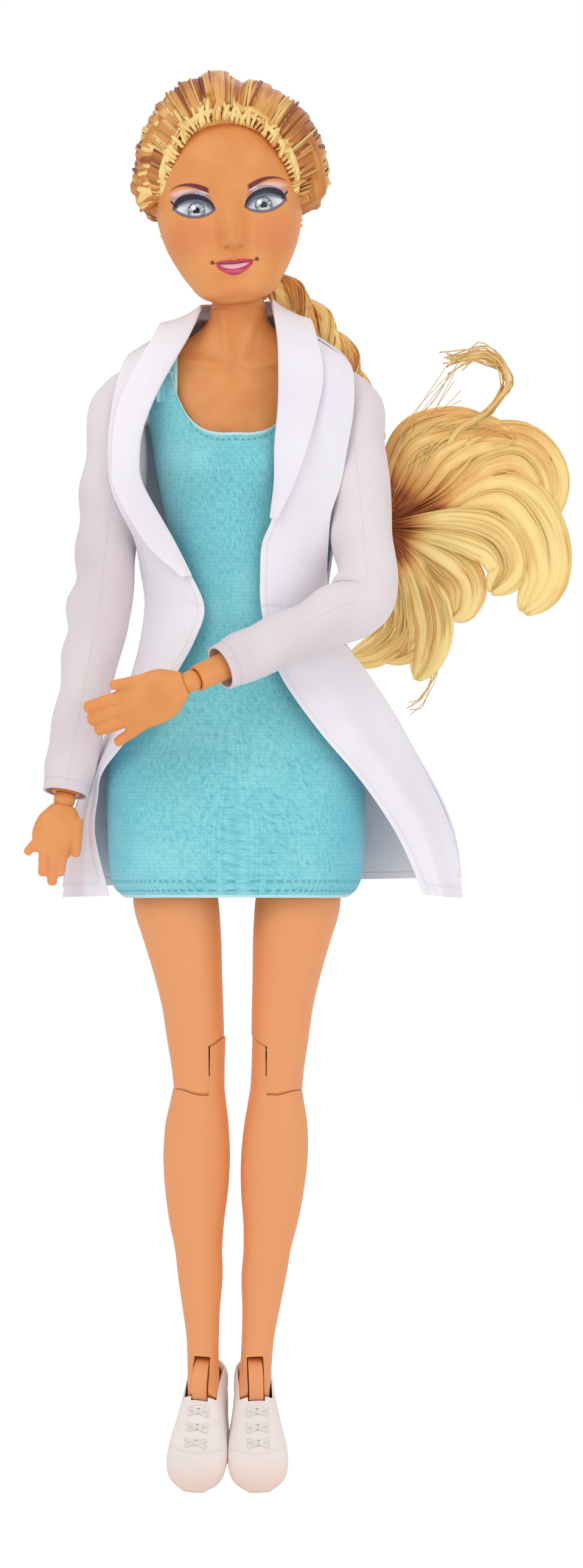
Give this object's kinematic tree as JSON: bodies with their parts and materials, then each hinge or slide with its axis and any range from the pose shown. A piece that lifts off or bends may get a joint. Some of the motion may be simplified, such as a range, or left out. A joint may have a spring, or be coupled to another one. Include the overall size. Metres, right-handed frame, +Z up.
{
  "type": "fashion doll",
  "caption": "Jointed fashion doll in a knitted tank dress, open coat and laced shoes, with tied-back hair and a bent arm.",
  "frame": {"origin": "centre of the waist, where a stand's clip holds the doll", "axes": "+Z up the body towards the head, the doll faces -Y, and its left side is +X"},
  "size_m": [0.116, 0.0514, 0.3036],
  "materials": {
    "skin": "satin moulded plastic",
    "face": "painted soft vinyl",
    "hair": "rooted synthetic fibre",
    "knit": "fine stretch knit",
    "coat": "thin woven cloth",
    "shoe": "soft moulded plastic",
    "tie": "thin elastic band"
  },
  "bodies": {
    "torso": {"torso_front": "skin", "torso_back": "skin", "dress": "knit", "coat_back": "coat", "coat_front_l": "coat", "coat_front_r": "coat", "coat_collar": "coat", "hair_twist": "hair", "hair_tie": "tie", "hair_tail": "hair"},
    "neck_knob": {"neck_knob": "skin"},
    "head": {"head": "face", "hair_cap": "hair"},
    "shoulder_hinge_r": {"shoulder_hinge_r": "skin"},
    "upper_arm_r": {"upper_arm_r": "skin", "coat_sleeve_r": "coat"},
    "elbow_knuckle_r": {"elbow_knuckle_r": "skin"},
    "forearm_r": {"forearm_r": "skin"},
    "wrist_peg_r": {"wrist_peg_r": "skin"},
    "hand_r": {"hand_r": "skin"},
    "hip_hinge_r": {"hip_hinge_r": "skin"},
    "thigh_r": {"thigh_r": "skin"},
    "lower_leg_r": {"lower_leg_r": "skin"},
    "foot_r": {"foot_r": "skin", "shoe_r": "shoe"},
    "shoulder_hinge_l": {"shoulder_hinge_l": "skin"},
    "upper_arm_l": {"upper_arm_l": "skin", "coat_sleeve_l": "coat"},
    "elbow_knuckle_l": {"elbow_knuckle_l": "skin"},
    "forearm_l": {"forearm_l": "skin"},
    "wrist_peg_l": {"wrist_peg_l": "skin"},
    "hand_l": {"hand_l": "skin"},
    "hip_hinge_l": {"hip_hinge_l": "skin"},
    "thigh_l": {"thigh_l": "skin"},
    "lower_leg_l": {"lower_leg_l": "skin"},
    "foot_l": {"foot_l": "skin", "shoe_l": "shoe"}
  },
  "joints": [
    {"name": "neck_nod", "type": "hinge", "parent": "torso", "child": "neck_knob", "pos_m": [0.0005, 0.001, 0.0635], "axis": [1, 0, 0], "range_deg": [-12, 12], "deforming": ["hair_twist"]},
    {"name": "head_turn", "type": "hinge", "parent": "neck_knob", "child": "head", "pos_m": [0.0005, 0.001, 0.0635], "axis": [-0.0872, 0, 0.9962], "range_deg": [-70, 70], "deforming": ["hair_twist", "coat_collar"]},
    {"name": "shoulder_swing_r", "type": "hinge", "parent": "torso", "child": "shoulder_hinge_r", "pos_m": [-0.0242, 0, 0.0453], "axis": [-1, 0, 0], "range_deg": [-15, 60], "deforming": ["coat_sleeve_r", "coat_front_r", "coat_back"]},
    {"name": "shoulder_lift_r", "type": "hinge", "parent": "shoulder_hinge_r", "child": "upper_arm_r", "pos_m": [-0.0242, 0, 0.0453], "axis": [0, 1, 0], "range_deg": [0, 60], "deforming": ["coat_sleeve_r"]},
    {"name": "elbow_turn_r", "type": "hinge", "parent": "upper_arm_r", "child": "elbow_knuckle_r", "pos_m": [-0.0288, 0, 0.0015], "axis": [-0.1044, 0, -0.9945], "range_deg": [-35, 60], "deforming": ["coat_sleeve_r"]},
    {"name": "elbow_bend_r", "type": "hinge", "parent": "elbow_knuckle_r", "child": "forearm_r", "pos_m": [-0.0288, 0, 0.0015], "axis": [-0.9472, 0.3048, 0.0995], "range_deg": [-13, 80], "deforming": ["coat_sleeve_r"]},
    {"name": "wrist_turn_r", "type": "hinge", "parent": "forearm_r", "child": "wrist_peg_r", "pos_m": [-0.0363, -0.0095, -0.0408], "axis": [-0.1705, -0.2159, -0.9614], "range_deg": [-60, 60]},
    {"name": "wrist_bend_r", "type": "hinge", "parent": "wrist_peg_r", "child": "hand_r", "pos_m": [-0.0363, -0.0095, -0.0408], "axis": [0.9853, -0.0269, -0.1687], "range_deg": [-25, 25]},
    {"name": "hip_swing_r", "type": "hinge", "parent": "torso", "child": "hip_hinge_r", "pos_m": [-0.0129, 0, -0.036], "axis": [-1, 0, 0], "range_deg": [-15, 70], "deforming": ["dress", "coat_front_r", "coat_back"]},
    {"name": "hip_spread_r", "type": "hinge", "parent": "hip_hinge_r", "child": "thigh_r", "pos_m": [-0.0129, 0, -0.036], "axis": [0, 1, 0], "range_deg": [0, 10], "deforming": ["dress", "coat_front_r", "coat_back"]},
    {"name": "knee_bend_r", "type": "hinge", "parent": "thigh_r", "child": "lower_leg_r", "pos_m": [-0.008, -0.001, -0.0988], "axis": [1, 0, 0], "range_deg": [0, 90]},
    {"name": "ankle_bend_r", "type": "hinge", "parent": "lower_leg_r", "child": "foot_r", "pos_m": [-0.007, 0.0005, -0.1648], "axis": [-0.9824, 0.1736, 0.0687], "range_deg": [0, 60]},
    {"name": "shoulder_swing_l", "type": "hinge", "parent": "torso", "child": "shoulder_hinge_l", "pos_m": [0.0242, 0, 0.0453], "axis": [-1, 0, 0], "range_deg": [-8, 60], "deforming": ["coat_sleeve_l", "coat_front_l", "coat_back"]},
    {"name": "shoulder_lift_l", "type": "hinge", "parent": "shoulder_hinge_l", "child": "upper_arm_l", "pos_m": [0.0242, 0, 0.0453], "axis": [0, -0.9724, 0.2331], "range_deg": [0, 60], "deforming": ["coat_sleeve_l"]},
    {"name": "elbow_turn_l", "type": "hinge", "parent": "upper_arm_l", "child": "elbow_knuckle_l", "pos_m": [0.0282, -0.0105, 0.0015], "axis": [0.0885, -0.2322, -0.9686], "range_deg": [-70, 0], "deforming": ["coat_sleeve_l"]},
    {"name": "elbow_bend_l", "type": "hinge", "parent": "elbow_knuckle_l", "child": "forearm_l", "pos_m": [0.0282, -0.0105, 0.0015], "axis": [-0.3177, 0.9151, -0.2484], "range_deg": [-66, 25], "deforming": ["coat_sleeve_l"]},
    {"name": "wrist_turn_l", "type": "hinge", "parent": "forearm_l", "child": "wrist_peg_l", "pos_m": [-0.0091, -0.0282, -0.016], "axis": [-0.8318, -0.3947, -0.3903], "range_deg": [-60, 60]},
    {"name": "wrist_bend_l", "type": "hinge", "parent": "wrist_peg_l", "child": "hand_l", "pos_m": [-0.0091, -0.0282, -0.016], "axis": [0.3623, 0.1465, -0.9205], "range_deg": [-25, 25]},
    {"name": "hip_swing_l", "type": "hinge", "parent": "torso", "child": "hip_hinge_l", "pos_m": [0.0129, 0, -0.036], "axis": [-1, 0, 0], "range_deg": [-15, 70], "deforming": ["dress", "coat_front_l", "coat_back"]},
    {"name": "hip_spread_l", "type": "hinge", "parent": "hip_hinge_l", "child": "thigh_l", "pos_m": [0.0129, 0, -0.036], "axis": [0, -1, 0], "range_deg": [0, 10], "deforming": ["dress", "coat_front_l", "coat_back"]},
    {"name": "knee_bend_l", "type": "hinge", "parent": "thigh_l", "child": "lower_leg_l", "pos_m": [0.0088, -0.001, -0.0988], "axis": [1, 0, 0], "range_deg": [0, 90]},
    {"name": "ankle_bend_l", "type": "hinge", "parent": "lower_leg_l", "child": "foot_l", "pos_m": [0.004, 0.0005, -0.1648], "axis": [-0.997, -0.0698, -0.0348], "range_deg": [0, 60]}
  ]
}
